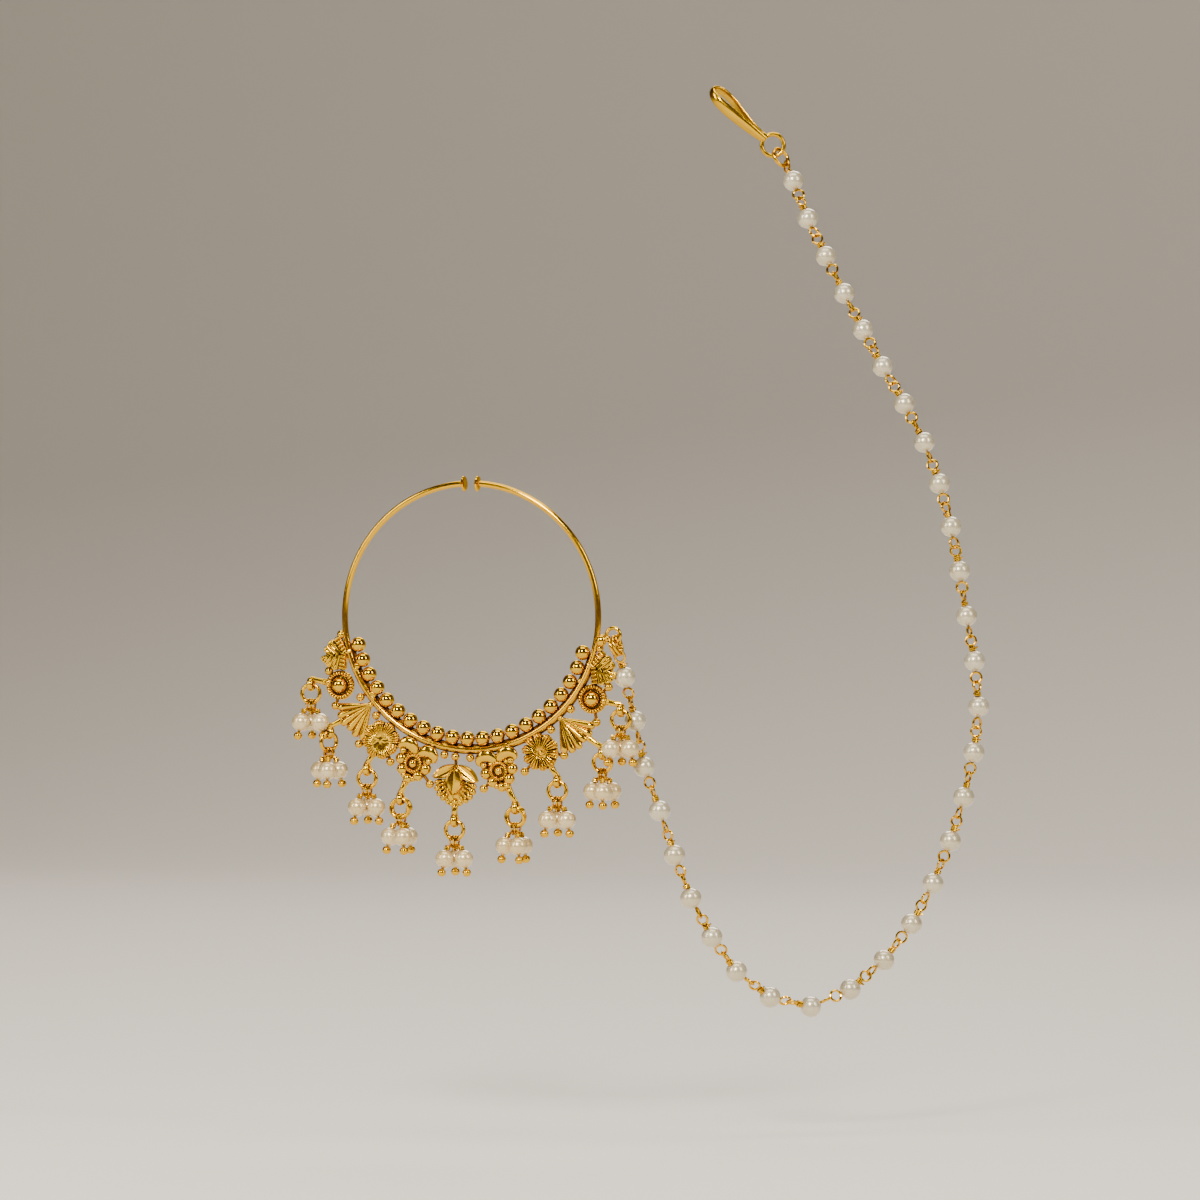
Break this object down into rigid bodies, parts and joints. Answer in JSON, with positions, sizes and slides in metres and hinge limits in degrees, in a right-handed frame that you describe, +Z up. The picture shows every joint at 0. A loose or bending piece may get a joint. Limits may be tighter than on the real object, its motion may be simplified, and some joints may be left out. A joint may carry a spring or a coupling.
{
  "type": "nath nose ring",
  "caption": "Large bridal nose ring: a hoop edged with gold balls, cast flowers and leaves and pearl drops, with a chain of pearls that ends in a hook.",
  "frame": {"origin": "middle of the gap at the top of the hoop, between its two end buttons, where it is worn", "axes": "+Z up with the ring hanging, -Y the ornamented front, the hoop in the XZ plane; the chain leaves the hoop at +X"},
  "size_m": [0.1319, 0.0732, 0.1887],
  "materials": {
    "gold": "polished yellow gold with dark antique recesses",
    "wire_gold": "bright polished gold wire",
    "pearl": "creamy white pearl with a soft shine"
  },
  "bodies": {
    "root": {"nose_ring": "gold", "drop_ring_1": "wire_gold", "drop_ring_2": "wire_gold", "drop_ring_3": "wire_gold", "drop_ring_4": "wire_gold", "drop_ring_5": "wire_gold", "drop_ring_6": "wire_gold", "drop_ring_7": "wire_gold", "drop_ring_8": "wire_gold", "drop_ring_9": "wire_gold", "drop_pearls_1": "pearl", "drop_pearls_2": "pearl", "drop_pearls_3": "pearl", "drop_pearls_4": "pearl", "drop_pearls_5": "pearl", "drop_pearls_6": "pearl", "drop_pearls_7": "pearl", "drop_pearls_8": "pearl", "drop_pearls_9": "pearl", "chain_ring": "wire_gold", "pearl_chain": "pearl", "hook_link": "wire_gold", "chain_hook": "gold"}
  },
  "joints": []
}
